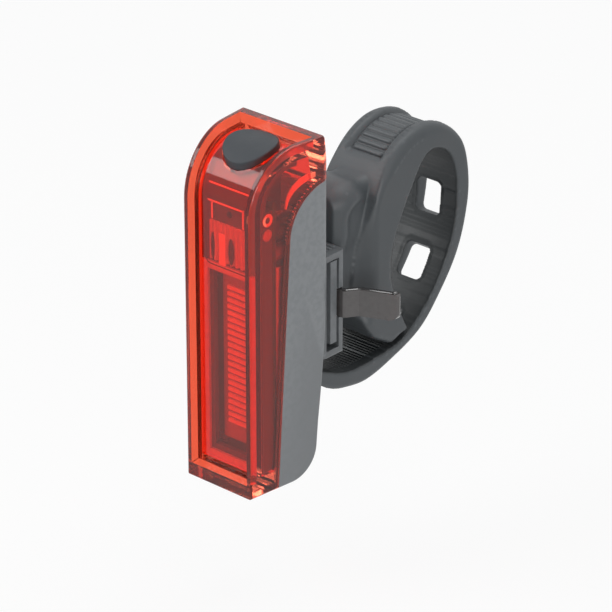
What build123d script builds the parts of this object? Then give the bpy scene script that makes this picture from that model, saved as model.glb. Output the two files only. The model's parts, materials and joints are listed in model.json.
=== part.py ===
from build123d import *
import math
import os

os.makedirs("parts", exist_ok=True)

# Frame: the origin is on the axis of the tube that the strap holds, with +X along that tube,
# +Z up the lamp, and the lens facing -Y. Lamp sizes are given back from the lens face
# and up from the lamp's base.
base_to_tube = 44.5
overrun = 3.0

# Outer form of the lamp
lamp_height = 87.0
face_half_width = 10.4
rear_half_width = 12.9
rear_top_depth = 22.8
brow_radius = 15.0
belly_bulge = 1.05
calf_depth = 21.5
calf_height = 13.9
heel_depth = 20.4
heel_radius = 8.0
plan_back = 24.9
plan_round = 2.2
edge_round = 0.7

# Parting seam between lens and housing
seam_foot_depth = 8.3
seam_centre_depth = 25.4
seam_centre_drop = 24.2
seam_radius = 13.2
seam_back_depth = 24.6
seam_back_drop = 10.7
seam_gap = 0.12

# Walls
tray_depth = 2.6
rim_width = 1.45
toe_rim = 3.4
rear_bar_depth = 20.4
lens_wall = 1.8
flank_wall = 1.9
shell_wall = 1.8
seal_skin = 0.6
seal_width = 0.9
seal_half = 0.6
fit_gap = 0.1

# Button on the brow, with its switch
button_angle = 14.0
button_radius = 6.6
button_gap = 0.3
button_pocket = 0.95
button_underside = 0.35
button_crown = 1.5
button_round = 0.4
stem_radius = 4.2
stem_foot = 2.6
plunger_radius = 1.6
plunger_length = 1.6
plunger_room = 0.8
switch_top = 3.2
switch_height = 3.0
switch_width = 6.0
switch_board_thick = 0.8
switch_board_width = 9.0
switch_board_length = 8.0
carrier_half_width = 4.5
carrier_low_drop = 18.5
carrier_depth = 6.7

# Boards, bezel and light parts behind the lens
bezel_front = 5.2
bezel_face = 1.2
bezel_skirt = 1.2
bezel_half_width = 8.8
bezel_low = 4.8
bezel_brow_angle = 104.0
bezel_stem_hole = 4.8
window_half_width = 5.2
window_low = 8.2
window_high_drop = 32.5
prism_half_width = 5.8
prism_low_drop = 30.2
prism_high_drop = 20.2
prism_front = 4.6
prism_back = 6.3
flute_count = 7
flute_radius = 0.55
guide_front = 4.5
guide_half_width = 8.3
guide_bar = 1.9
guide_low = 4.8
guide_high_drop = 30.8
board_front = 8.8
board_thick = 1.0
board_half_width = 8.9
board_low = 5.0
board_high_drop = 13.0
led_board_thick = 1.1
led_board_half_width = 4.6
led_board_low = 9.6
led_board_high_drop = 33.0
emitter_count = 22
emitter_half_width = 2.85
emitter_height = 0.95
emitter_thick = 0.5
emitter_first = 14.5
emitter_last_drop = 37.5
window_led_radius = 1.3
window_led_half_pitch = 2.7
window_led_drop = 25.5
window_led_barrel = 1.0
indicator_hole = 0.9
indicator_size = 1.6
indicator_thick = 0.7
indicator_drop = 17.6
screw_half_pitch = 6.0
screw_low = 8.0
screw_high_drop = 28.0
post_radius = 1.9
screw_radius = 0.9
screw_length = 6.5
screw_head_radius = 1.5
screw_head_height = 1.2

# Components on the board's back: across, down from the lamp's top, width, height and thickness
component_sizes = (
    (0.0, 28.0, 5.0, 3.6, 1.2),
    (6.8, 20.2, 3.4, 3.4, 1.9),
    (-6.8, 20.2, 3.0, 4.2, 1.2),
    (6.8, 15.4, 1.6, 0.9, 0.8),
    (-6.8, 15.4, 1.6, 0.9, 0.8),
)

# Battery
cell_half_width = 8.0
cell_front = 11.2
cell_back = 19.0
cell_low = 11.0
cell_high_drop = 31.0
cell_corner = 2.2
foam_half_width = 5.5
foam_low = 18.0
foam_high_drop = 37.0
rib_half_pitch = 4.5
rib_width = 1.2
rib_low = 18.0
rib_high_drop = 35.0
lead_radius = 0.5
lead_half_pitch = 1.6
lead_depth = 14.0
lead_height_drop = 24.9
lead_bend = 2.0

# Charging port in the back
charge_board_high_drop = 22.8
charge_board_thick = 1.0
charge_board_half_width = 7.6
charge_board_back = 21.0
socket_half_width = 4.5
socket_height = 3.2
socket_front = 14.8
socket_back = 22.2
socket_corner = 1.2
socket_shell = 0.35
socket_tongue = 0.7
tongue_half_width = 3.4
port_half_width = 4.9
port_half_height = 1.9
recess_floor = 23.2
recess_half_width = 6.4
recess_low_drop = 24.8
recess_high_drop = 16.6
recess_corner = 0.4
port_boss_wall = 1.2
port_boss_front = 21.4
cover_gap = 0.3
cover_thick = 1.2
plug_half_width = 4.0
plug_half_height = 1.2
plug_length = 0.9

# Slide rail on the housing and the bracket that takes it
rail_low = 30.0
rail_high = 53.0
rail_root = 22.8
stem_half_width = 4.0
flange_half_width = 6.5
flange_front = 26.2
flange_back = 28.1
rail_gap = 0.3
bracket_half_width = 10.0
bracket_front = 24.9
bracket_back = 33.3
bracket_low = 26.8
bracket_high = 53.9
bracket_toe = 2.6
bracket_round = 0.8
thumb_rib_count = 3
thumb_rib_first = 29.4
thumb_rib_pitch = 1.3
thumb_rib_radius = 0.4
thumb_rib_half_width = 8.0

# Latch arm in the side window, and the release lever
window_inner = 6.8
window_front = 27.0
window_back = 31.4
arm_window_low = 28.9
arm_window_high = 52.3
arm_inner = 8.3
arm_outer = 9.9
arm_front = 28.5
arm_back = 30.7
arm_low = 30.4
arm_high = 51.9
arm_root_inner = 7.1
arm_root_height = 2.0
nose_inner = 7.9
nose_front = 27.2
nose_low = 31.4
nose_height = 2.0
pin_across = 8.6
pin_depth = 32.2
pin_radius = 0.6
pin_low = 33.7
pin_high = 47.0
pin_clearance = 0.05
hub_radius = 1.1
lever_low = 36.9
lever_high = 43.8
lever_low_corner = 2.0
lever_high_corner = 0.7
lever_thick = 1.7
lever_slot_gap = 0.4
lever_slot_inner = 6.2
lever_slot_front = 29.6
lever_neck_across = 10.9
lever_neck_depth = 32.0
lever_knee_across = 13.0
lever_knee_depth = 35.2
lever_tip_across = 21.6
lever_tip_depth = 38.9
lever_bend = 0.9
tail_across = 7.3
tail_depth = 30.3
tail_thick = 0.8

# Screws and plate that hold the strap to the bracket
mount_screw_low = 40.0
mount_screw_high = 47.0
mount_screw_radius = 1.25
mount_head_radius = 2.3
mount_head_height = 1.1
mount_screw_end = 37.9
retainer_front = 35.6
retainer_back = 37.6
retainer_half_width = 4.6
retainer_low = 37.2
retainer_high = 49.8
retainer_corner = 1.5

# Hook under the bracket for the strap's tail
hook_half_width = 2.6
hook_front = 28.2
hook_back = 31.2
hook_drop_share = 0.958
barb_front = 26.8
barb_height = 1.4

# Rubber strap. Shares are of the reach back and of the rise up from the tube's axis.
strap_reach = 17.6
strap_rise = 30.8
strap_half_width = 9.0
strap_rim = 3.6
channel_depth = 1.0
band_outer_shares = (
    (-2.22, -0.760),
    (-1.90, -0.880),
    (-1.62, -0.932),
    (-1.17, -0.962),
    (-0.65, -0.896),
    (-0.05, -0.762),
    (0.32, -0.573),
    (0.77, -0.221),
    (0.98, 0.175),
    (0.985, 0.48),
    (0.84, 0.74),
    (0.46, 0.935),
    (-0.06, 1.0),
    (-0.54, 0.90),
)
band_inner_shares = (
    (-0.25, 0.52),
    (0.03, 0.735),
    (0.30, 0.75),
    (0.56, 0.64),
    (0.70, 0.40),
    (0.68, 0.10),
    (0.56, -0.14),
    (0.25, -0.44),
    (-0.18, -0.672),
    (-0.50, -0.768),
    (-0.96, -0.796),
    (-1.30, -0.806),
    (-1.66, -0.775),
    (-2.20, -0.640),
)
pad_outer_shares = (
    (-0.54, 0.90),
    (-0.86, 0.70),
    (-1.06, 0.43),
    (-1.215, 0.136),
    (-1.29, -0.15),
    (-1.27, -0.38),
    (-1.02, -0.62),
    (-0.66, -0.752),
)
pad_inner_shares = (
    (-0.30, -0.685),
    (-0.50, -0.44),
    (-0.66, -0.146),
    (-0.64, 0.05),
    (-0.50, 0.27),
    (-0.25, 0.52),
)
even_scalars = (1.0, 1.0)
crown_slope_shares = ((-0.80, -0.30), (0.53, 0.465))
tail_slope_shares = ((0.32, -0.12), (-0.60, 0.135))
tip_slope_shares = ((0.57, -0.16), (-0.20, 0.25))
pad_round = 2.0
slot_length = 8.6
slot_width = 7.5
slot_corner = 1.4
slot_shares = ((0.87, 0.16), (0.50, -0.365), (-0.22, -0.735))
slot_angles = (-15.0, -40.0, -68.0)
hook_slot_gap = 0.7
grip_half_width = 4.9
grip_depth = 0.8
grip_start = -11.8
grip_end = 9.2
grip_groove_count = 12
grip_groove_width = 0.9
channel_front = -13.0
crown_place_count = 5
neck_front_half_width = 5.6
neck_front_low = 35.5
neck_front_high = 65.0
neck_front_round = 3.0
neck_back_half_width = 6.0
neck_back_low = 33.0
neck_back_high = 66.5
neck_back_round = 4.0
neck_back_share = -0.74
boss_low = 50.5
boss_high = 67.3
boss_half_width = 8.6
boss_back = 38.7
boss_front_round = 4.0
boss_back_round = 1.0
standoff_share = 1.7159

# Heights above the base that follow the lamp's height
seam_centre_height = lamp_height - seam_centre_drop
seam_back_height = lamp_height - seam_back_drop
carrier_low = lamp_height - carrier_low_drop
bezel_high = lamp_height - brow_radius
window_high = lamp_height - window_high_drop
prism_low = lamp_height - prism_low_drop
prism_high = lamp_height - prism_high_drop
guide_high = lamp_height - guide_high_drop
board_high = lamp_height - board_high_drop
led_board_high = lamp_height - led_board_high_drop
emitter_last = lamp_height - emitter_last_drop
window_led_height = lamp_height - window_led_drop
indicator_height = lamp_height - indicator_drop
screw_high = lamp_height - screw_high_drop
cell_high = lamp_height - cell_high_drop
foam_high = lamp_height - foam_high_drop
rib_high = lamp_height - rib_high_drop
lead_height = lamp_height - lead_height_drop
charge_board_high = lamp_height - charge_board_high_drop
recess_low = lamp_height - recess_low_drop
recess_high = lamp_height - recess_high_drop

# Places that follow the strap's size
face_to_tube = bracket_back + standoff_share * strap_reach
hook_low = base_to_tube - hook_drop_share * strap_rise
neck_back = face_to_tube + neck_back_share * strap_reach


def side_plane(across=0):
    """Side view: local x runs back from the lens face and local y up from the base."""
    return Plane(origin=(across, -face_to_tube, -base_to_tube), x_dir=(0, 1, 0), z_dir=(1, 0, 0))


def front_plane(back=0):
    """Front view: local x runs to the right, local y up, and the normal faces the viewer."""
    return Plane(origin=(0, back - face_to_tube, -base_to_tube), x_dir=(1, 0, 0), z_dir=(0, -1, 0))


def level(up=0):
    """Top view: local x runs to the right and local y back from the lens face."""
    return Plane(origin=(0, -face_to_tube, up - base_to_tube), x_dir=(1, 0, 0), z_dir=(0, 0, 1))


def button_plane(out=0):
    """Plane of the button, square to the tray's curved brow."""
    tilt = math.radians(button_angle)
    reach = brow_radius - tray_depth + out
    back = brow_radius - reach * math.sin(tilt) - face_to_tube
    up = lamp_height - brow_radius + reach * math.cos(tilt) - base_to_tube
    normal = (0, -math.sin(tilt), math.cos(tilt))
    return Plane(origin=(0, back, up), x_dir=(1, 0, 0), z_dir=normal)


def block(across, back, up, corner=0, mode=Mode.ADD):
    """A block between pairs of places: across the lamp, back from its face and up from its base."""
    with BuildSketch(level(up[0])) as foot:
        with Locations(((across[0] + across[1]) / 2, (back[0] + back[1]) / 2)):
            Rectangle(across[1] - across[0], back[1] - back[0])
        if corner:
            fillet(foot.vertices(), corner)
    extrude(foot.sketch, amount=up[1] - up[0], mode=mode)


def panel(half_width, back, up, corner=0, mode=Mode.ADD):
    """A block centred across the lamp, with its corners rounded in the front view."""
    with BuildSketch(front_plane(back[1])) as face:
        with Locations((0, (up[0] + up[1]) / 2)):
            Rectangle(2 * half_width, up[1] - up[0])
        if corner:
            fillet(face.vertices(), corner)
    extrude(face.sketch, amount=back[1] - back[0], mode=mode)


def lamp_profile(inset=0):
    """Side outline of the whole lamp, drawn in by inset."""
    brow_start = lamp_height - brow_radius
    with BuildSketch(side_plane()) as outline:
        with BuildLine():
            Line((0, brow_start), (0, 0))
            Line((0, 0), (heel_depth, 0))
            Line((heel_depth, 0), (calf_depth, calf_height))
            seam_back = (seam_back_depth, seam_back_height)
            SagittaArc((calf_depth, calf_height), seam_back, -belly_bulge)
            Line(seam_back, (rear_top_depth, lamp_height))
            Line((rear_top_depth, lamp_height), (brow_radius, lamp_height))
            CenterArc((brow_radius, brow_start), brow_radius, 90, 90)
        make_face()
        fillet(outline.vertices().group_by(Axis.Y)[0].sort_by(Axis.X)[-1], heel_radius)
        if inset:
            offset(amount=-inset)
    return outline.sketch


def lamp_plan(inset=0):
    """Plan of the flared flanks, drawn in by inset, from before the face to behind the back."""
    flare = (rear_half_width - face_half_width) / rear_top_depth
    front_half = face_half_width - flare * overrun - inset
    back_half = face_half_width + flare * plan_back - inset
    with BuildSketch(level(-overrun)) as plan:
        front = ((-front_half, -overrun), (front_half, -overrun))
        Polygon(*front, (back_half, plan_back), (-back_half, plan_back), align=None)
        fillet(plan.vertices().group_by(Axis.Y)[-1], plan_round)
    return plan.sketch


def lamp_form(profile_inset=0, plan_inset=0):
    """The lamp's outer form, or the same form drawn in."""
    with BuildPart() as form:
        extrude(lamp_profile(profile_inset), amount=rear_half_width + overrun, both=True)
        extrude(lamp_plan(plan_inset), amount=lamp_height + 2 * overrun, mode=Mode.INTERSECT)
    return form.part


def rounded_form():
    """The lamp's outer form with the edges of its flanks rounded."""
    with BuildPart() as form:
        add(lamp_form())
        flats = form.faces().filter_by(GeomType.PLANE).sort_by(Axis.X)
        fillet(flats[0].edges() + flats[-1].edges(), edge_round)
    return form.part


def behind_seam(shift=0):
    """Everything behind the parting seam, moved back by shift."""
    spring = (seam_centre_depth - seam_radius + shift, seam_centre_height)
    crown = (seam_centre_depth, seam_centre_height + seam_radius - shift)
    far = seam_centre_depth + overrun
    with BuildSketch(side_plane()) as zone:
        with BuildLine():
            Line((seam_foot_depth + shift, -overrun), spring)
            CenterArc((seam_centre_depth, seam_centre_height), seam_radius - shift, 180, -90)
            Line(crown, (far, crown[1]))
            Line((far, crown[1]), (far, -overrun))
            Line((far, -overrun), (seam_foot_depth + shift, -overrun))
        make_face()
    with BuildPart() as body:
        extrude(zone.sketch, amount=rear_half_width + overrun, both=True)
    return body.part


def seal_ring():
    """Ring of the gasket: a band each side of the seam, inside the walls."""
    with BuildPart() as ring:
        add(lamp_form(seal_skin, seal_skin))
        add(lamp_form(seal_skin + seal_width, seal_skin + seal_width), mode=Mode.SUBTRACT)
        add(behind_seam(-seal_half), mode=Mode.INTERSECT)
        add(behind_seam(seal_half), mode=Mode.SUBTRACT)
    return ring.part


def lens_tray():
    """The sunken face between the lens's rims, from the toe rim up over the brow."""
    top = lamp_height + overrun
    corners = ((-overrun, toe_rim), (rear_bar_depth, toe_rim), (rear_bar_depth, top), (-overrun, top))
    with BuildPart() as tray:
        with BuildSketch(side_plane()):
            Polygon(*corners, align=None)
        extrude(amount=rear_half_width, both=True)
        extrude(lamp_profile(tray_depth), amount=rear_half_width, both=True, mode=Mode.SUBTRACT)
        extrude(lamp_plan(rim_width), amount=lamp_height + 2 * overrun, mode=Mode.INTERSECT)
    return tray.part


def brow_rod(radius):
    """A rod along the brow's axis, which shapes what follows the curved tray."""
    with BuildPart() as rod:
        with BuildSketch(side_plane()):
            with Locations((brow_radius, lamp_height - brow_radius)):
                Circle(radius)
        extrude(amount=rear_half_width, both=True)
    return rod.part


def countersunk(plane, places, head_radius, head_height, shank_radius, length):
    """Countersunk screws: head tops on the plane, shanks running against its normal."""
    slope = math.degrees(math.atan2(head_radius - shank_radius, head_height))
    with BuildPart() as group:
        with BuildSketch(plane.offset(-head_height)) as necks:
            with Locations(*places):
                Circle(shank_radius)
        extrude(necks.sketch, amount=head_height, taper=-slope)
        extrude(necks.sketch, amount=head_height - length)
    return group.part


def button_cylinder(radius, low, high, mode=Mode.ADD):
    """A round bar square to the button's plane."""
    with BuildSketch(button_plane(low)) as foot:
        Circle(radius)
    extrude(foot.sketch, amount=high - low, mode=mode)


def strap_points(shares):
    """Places on the strap's side outline from shares of its reach and rise."""
    return [(strap_reach * back, strap_rise * up) for back, up in shares]


def strap_slopes(shares):
    """Unit directions of the strap's side outline from shares of its reach and rise."""
    return [Vector(*place).normalized() for place in strap_points(shares)]


def pocket_form():
    """The shallow pocket round the button, with a floor that follows the brow."""
    with BuildPart() as pocket:
        button_cylinder(button_radius + button_gap, -overrun, overrun)
        add(brow_rod(tray_radius - button_pocket), mode=Mode.SUBTRACT)
    return pocket.part


def bezel_brow():
    """The bezel's top, bent along the brow under the button, with a hole for the button's stem."""
    radius = brow_radius - bezel_front - bezel_face / 2
    with BuildPart() as brow:
        with BuildSketch(side_plane(-bezel_half_width)):
            with BuildLine() as path:
                CenterArc((brow_radius, lamp_height - brow_radius), radius, 180, -bezel_brow_angle)
            trace(path.line, line_width=bezel_face)
        extrude(amount=2 * bezel_half_width)
        button_cylinder(bezel_stem_hole, -brow_radius, overrun, mode=Mode.SUBTRACT)
    return brow.part


def button_cap():
    """The button's cap, curved like the brow, with a rounded rim."""
    with BuildPart() as cap:
        button_cylinder(button_radius, -overrun, overrun)
        add(brow_rod(tray_radius + button_crown), mode=Mode.INTERSECT)
        fillet(cap.faces().sort_by(Axis.Z)[-1].edges(), button_round)
        add(brow_rod(tray_radius - button_underside), mode=Mode.SUBTRACT)
    return cap.part


def housing_supports():
    """Screw posts, battery ribs and the port's boss, as far as the housing's outer face."""
    with BuildPart() as supports:
        with BuildSketch(front_plane(seam_back_depth)):
            with Locations(*screw_places):
                Circle(post_radius)
        extrude(amount=seam_back_depth - board_back)
        for side in (-1, 1):
            near = side * rib_half_pitch - rib_width / 2
            block((near, near + rib_width), (cell_back, seam_back_depth), (rib_low, rib_high))
        boss_half = recess_half_width + port_boss_wall
        boss_up = (recess_low - port_boss_wall, recess_high + port_boss_wall)
        panel(boss_half, (port_boss_front, seam_back_depth), boss_up)
        add(outer_form, mode=Mode.INTERSECT)
    return supports.part


def strap_solid(outer, inner, outer_tangents, inner_tangents):
    """A slice of strap between two curves, across the strap's full width."""
    with BuildPart() as solid:
        with BuildSketch(Plane.YZ):
            with BuildLine():
                Spline(*outer, tangents=outer_tangents, tangent_scalars=even_scalars)
                Line(outer[-1], inner[0])
                Spline(*inner, tangents=inner_tangents, tangent_scalars=even_scalars)
                Line(inner[-1], outer[0])
            make_face()
        extrude(amount=strap_half_width, both=True)
    return solid.part


def band_beside(points, depth, half_width):
    """A band to both sides of a curve, for cutting a recess of an even depth."""
    with BuildPart() as band:
        with BuildSketch(Plane.YZ):
            with BuildLine() as path:
                Spline(*points)
            trace(path.line, line_width=2 * depth)
        extrude(amount=half_width, both=True)
    return band.part


def strap_channel(points):
    """The channel along the strap's outer face, between its rims, from the tail over the crown."""
    with BuildPart() as channel:
        add(band_beside(points, channel_depth, strap_half_width - strap_rim))
        with BuildSketch(Plane.XY):
            with Locations((0, channel_front)):
                Rectangle(2 * strap_half_width, 2 * strap_reach, align=(Align.CENTER, Align.MAX))
        extrude(amount=strap_rise + overrun, mode=Mode.SUBTRACT)
    return channel.part


def grip_grooves(crown):
    """Grooves across the channel's floor on the crown, of an even depth."""
    pitch = (grip_end - grip_start) / (grip_groove_count - 1)
    with BuildPart() as grooves:
        with BuildSketch(Plane.XY):
            with Locations((0, (grip_start + grip_end) / 2)):
                with GridLocations(0, pitch, 1, grip_groove_count):
                    Rectangle(2 * grip_half_width, grip_groove_width)
        extrude(amount=strap_rise + overrun)
        add(band_beside(crown, channel_depth + grip_depth, strap_half_width), mode=Mode.INTERSECT)
    return grooves.part


def strap_boss():
    """The wide boss behind the bracket, with its front well rounded."""
    with BuildPart() as boss:
        panel(boss_half_width, (bracket_back, boss_back), (boss_low, boss_high))
        fillet(boss.faces().sort_by(Axis.Y)[0].edges(), boss_front_round)
        fillet(boss.faces().sort_by(Axis.Y)[-1].edges(), boss_back_round)
    return boss.part


def saddle_form():
    """The saddle pad that lies against the tube, with the neck and the boss behind the bracket."""
    outer = strap_points(pad_outer_shares)
    inner = strap_points(pad_inner_shares)
    crown_outer, crown_inner = strap_slopes(crown_slope_shares)
    tip_outer, tip_inner = strap_slopes(tip_slope_shares)
    with BuildPart() as saddle:
        add(strap_solid(outer, inner, (crown_outer, tip_outer), (tip_inner, crown_inner)))
        flats = saddle.faces().filter_by(GeomType.PLANE).sort_by(Axis.X)
        for flat in (flats[0], flats[-1]):
            fillet(flat.edges().sort_by(Axis.Y)[0], pad_round)
        add(strap_boss())
        with BuildSketch(front_plane(bracket_back)) as front:
            with Locations((0, (neck_front_low + neck_front_high) / 2)):
                Rectangle(2 * neck_front_half_width, neck_front_high - neck_front_low)
            fillet(front.vertices(), neck_front_round)
        with BuildSketch(front_plane(neck_back)) as back:
            with Locations((0, (neck_back_low + neck_back_high) / 2)):
                Rectangle(2 * neck_back_half_width, neck_back_high - neck_back_low)
            fillet(back.vertices(), neck_back_round)
        loft([front.sketch, back.sketch])
    return saddle.part


# Forms that several pieces share
board_back = board_front + board_thick
tray_radius = brow_radius - tray_depth
switch_bottom = -(switch_top + switch_height)
outer_form = rounded_form()
seal_form = seal_ring()
screw_places = [(side * screw_half_pitch, up) for side in (-1, 1) for up in (screw_low, screw_high)]
port_centre = charge_board_high + socket_height / 2

with BuildPart() as front_lens:
    add(outer_form)
    add(behind_seam(), mode=Mode.SUBTRACT)
    add(lens_tray(), mode=Mode.SUBTRACT)
    add(lamp_form(tray_depth + lens_wall, flank_wall), mode=Mode.SUBTRACT)
    add(seal_form, mode=Mode.SUBTRACT)
    add(pocket_form(), mode=Mode.SUBTRACT)
    button_cylinder(stem_radius + button_gap, -overrun, overrun, mode=Mode.SUBTRACT)

with BuildPart() as rear_housing:
    add(outer_form)
    add(behind_seam(seam_gap), mode=Mode.INTERSECT)
    add(lamp_form(shell_wall, flank_wall), mode=Mode.SUBTRACT)
    add(housing_supports())
    add(seal_form, mode=Mode.SUBTRACT)
    # Slide rail: a narrow stem with a wide flange
    block((-stem_half_width, stem_half_width), (rail_root, flange_back), (rail_low, rail_high))
    block((-flange_half_width, flange_half_width), (flange_front, flange_back), (rail_low, rail_high))
    # Recess and hole of the charging port
    recess_back = seam_back_depth + overrun
    panel(
        recess_half_width,
        (recess_floor, recess_back),
        (recess_low, recess_high),
        recess_corner,
        mode=Mode.SUBTRACT,
    )
    port_up = (port_centre - port_half_height, port_centre + port_half_height)
    panel(port_half_width, (port_boss_front - overrun, recess_back), port_up, mode=Mode.SUBTRACT)
    # Pilot holes of the board screws
    with BuildSketch(front_plane(board_front + screw_length)):
        with Locations(*screw_places):
            Circle(screw_radius)
    extrude(amount=screw_length, mode=Mode.SUBTRACT)

with BuildPart() as housing_gasket:
    add(seal_form)

with BuildPart() as power_button:
    add(button_cap())
    button_cylinder(stem_radius, -stem_foot, 0)

with BuildPart() as switch_plunger:
    button_cylinder(plunger_radius, -stem_foot - plunger_length, -stem_foot)

with BuildPart() as switch_body:
    with BuildSketch(button_plane(switch_bottom)) as foot:
        Rectangle(switch_width, switch_width)
    extrude(amount=switch_height)
    well_floor = -stem_foot - plunger_length - plunger_room
    button_cylinder(plunger_radius + fit_gap, well_floor, 0, mode=Mode.SUBTRACT)

with BuildPart() as switch_board:
    with BuildSketch(button_plane(switch_bottom)):
        Rectangle(switch_board_width, switch_board_length)
    extrude(amount=-switch_board_thick)

with BuildPart() as switch_carrier:
    carrier_across = (-carrier_half_width, carrier_half_width)
    block(carrier_across, (board_back, board_back + carrier_depth), (carrier_low, lamp_height))
    with BuildSketch(button_plane(switch_bottom - switch_board_thick)):
        Rectangle(lamp_height, lamp_height)
    extrude(amount=lamp_height, mode=Mode.SUBTRACT)

with BuildPart() as main_board:
    panel(board_half_width, (board_front, board_back), (board_low, board_high))
    with BuildSketch(front_plane(board_back)):
        with Locations(*screw_places):
            Circle(screw_radius + fit_gap)
    extrude(amount=board_thick, mode=Mode.SUBTRACT)

with BuildPart() as board_screws:
    with BuildSketch(front_plane(board_front)) as heads:
        with Locations(*screw_places):
            Circle(screw_head_radius)
    extrude(amount=screw_head_height)
    with BuildSketch(front_plane(board_front + screw_length)):
        with Locations(*screw_places):
            Circle(screw_radius)
    extrude(amount=screw_length)

with BuildPart() as board_components:
    for across, drop, width, height, thick in component_sizes:
        sides = (across - width / 2, across + width / 2)
        middle = lamp_height - drop
        block(sides, (board_back, board_back + thick), (middle - height / 2, middle + height / 2))

with BuildPart() as led_board:
    led_board_up = (led_board_low, led_board_high)
    panel(led_board_half_width, (board_front - led_board_thick, board_front), led_board_up)

with BuildPart() as cob_emitters:
    emitter_back = board_front - led_board_thick
    emitter_pitch = (emitter_last - emitter_first) / (emitter_count - 1)
    with BuildSketch(front_plane(emitter_back)):
        with Locations((0, (emitter_first + emitter_last) / 2)):
            with GridLocations(0, emitter_pitch, 1, emitter_count):
                Rectangle(2 * emitter_half_width, emitter_height)
    extrude(amount=emitter_thick)

with BuildPart() as window_leds:
    with BuildSketch(front_plane(board_front)):
        with Locations((0, window_led_height)):
            with GridLocations(2 * window_led_half_pitch, 0, 2, 1):
                Circle(window_led_radius)
    extrude(amount=window_led_barrel)

with BuildPart() as indicator_led:
    half = indicator_size / 2
    low = indicator_height - half
    panel(half, (board_front - indicator_thick, board_front), (low, low + indicator_size))

with BuildPart() as inner_bezel:
    bezel_up = (bezel_low, bezel_high)
    panel(bezel_half_width, (bezel_front, board_front), bezel_up)
    hollow_up = (bezel_low + bezel_skirt, bezel_high - bezel_skirt)
    hollow_front = bezel_front + bezel_face
    panel(bezel_half_width - bezel_skirt, (hollow_front, board_front), hollow_up, mode=Mode.SUBTRACT)
    panel(window_half_width, (bezel_front, hollow_front), (window_low, window_high), mode=Mode.SUBTRACT)
    panel(prism_half_width, (bezel_front, hollow_front), (prism_low, prism_high), mode=Mode.SUBTRACT)
    with BuildSketch(front_plane(hollow_front)):
        with Locations((0, indicator_height)):
            Circle(indicator_hole)
    extrude(amount=bezel_face, mode=Mode.SUBTRACT)
    add(bezel_brow())

with BuildPart() as light_guide:
    panel(guide_half_width, (guide_front, bezel_front), (guide_low, guide_high))
    bar_up = (guide_low + guide_bar, guide_high - guide_bar)
    panel(guide_half_width - guide_bar, (guide_front, bezel_front), bar_up, mode=Mode.SUBTRACT)

with BuildPart() as window_prism:
    panel(prism_half_width, (prism_front, prism_back), (prism_low, prism_high))
    flute_pitch = 2 * prism_half_width / flute_count
    with BuildSketch(level(prism_low)):
        with Locations((0, prism_front)):
            with GridLocations(flute_pitch, 0, flute_count, 1):
                Circle(flute_radius)
    extrude(amount=prism_high - prism_low, mode=Mode.SUBTRACT)

with BuildPart() as battery_cell:
    with BuildSketch(level(cell_low)) as end:
        with Locations((0, (cell_front + cell_back) / 2)):
            Rectangle(2 * cell_half_width, cell_back - cell_front)
        fillet(end.vertices(), cell_corner)
    extrude(amount=cell_high - cell_low)

with BuildPart() as battery_foam:
    panel(foam_half_width, (board_back, cell_front), (foam_low, foam_high))

leads = {}
for lead_name, lead_side in (("red_lead", -1), ("black_lead", 1)):
    with BuildPart() as lead:
        with BuildLine(side_plane(lead_side * lead_half_pitch)):
            FilletPolyline(
                (lead_depth, cell_high),
                (lead_depth, lead_height),
                (board_back, lead_height),
                radius=lead_bend,
            )
        with BuildSketch(level(cell_high)):
            with Locations((lead_side * lead_half_pitch, lead_depth)):
                Circle(lead_radius)
        sweep()
    leads[lead_name] = lead

with BuildPart() as charge_board:
    charge_up = (charge_board_high - charge_board_thick, charge_board_high)
    charge_across = (-charge_board_half_width, charge_board_half_width)
    block(charge_across, (board_back, charge_board_back), charge_up)

with BuildPart() as charging_socket:
    socket_up = (charge_board_high, charge_board_high + socket_height)
    panel(socket_half_width, (socket_front, socket_back), socket_up, socket_corner)
    mouth_up = (socket_up[0] + socket_shell, socket_up[1] - socket_shell)
    mouth_back = (socket_front + socket_shell, socket_back)
    mouth_half_width = socket_half_width - socket_shell
    mouth_corner = socket_corner - socket_shell
    panel(mouth_half_width, mouth_back, mouth_up, mouth_corner, mode=Mode.SUBTRACT)
    tongue_half_height = socket_tongue / 2
    tongue_up = (port_centre - tongue_half_height, port_centre + tongue_half_height)
    panel(tongue_half_width, (socket_front, socket_back - socket_tongue), tongue_up)

with BuildPart() as port_cover:
    cover_front = recess_floor + cover_gap
    cover_back = cover_front + cover_thick
    cover_half_width = recess_half_width - cover_gap
    barrel_radius = cover_thick / 2
    hinge_height = recess_high - cover_gap - barrel_radius
    panel(cover_half_width, (cover_front, cover_back), (recess_low + cover_gap, hinge_height))
    with BuildSketch(side_plane(-cover_half_width)):
        with Locations((cover_front + barrel_radius, hinge_height)):
            Circle(barrel_radius)
    extrude(amount=2 * cover_half_width)
    plug_up = (port_centre - plug_half_height, port_centre + plug_half_height)
    panel(plug_half_width, (cover_front - plug_length, cover_front), plug_up)

# Mount: the bracket, its latch and lever
mount_screw_places = ((0, mount_screw_low), (0, mount_screw_high))
channel_back = flange_back + rail_gap

with BuildPart() as bracket_screws:
    add(
        countersunk(
            front_plane(channel_back),
            mount_screw_places,
            mount_head_radius,
            mount_head_height,
            mount_screw_radius,
            mount_screw_end - channel_back,
        )
    )

with BuildPart() as lever_pin:
    with BuildSketch(level(pin_low)):
        with Locations((pin_across, pin_depth)):
            Circle(pin_radius)
    extrude(amount=pin_high - pin_low)

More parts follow.
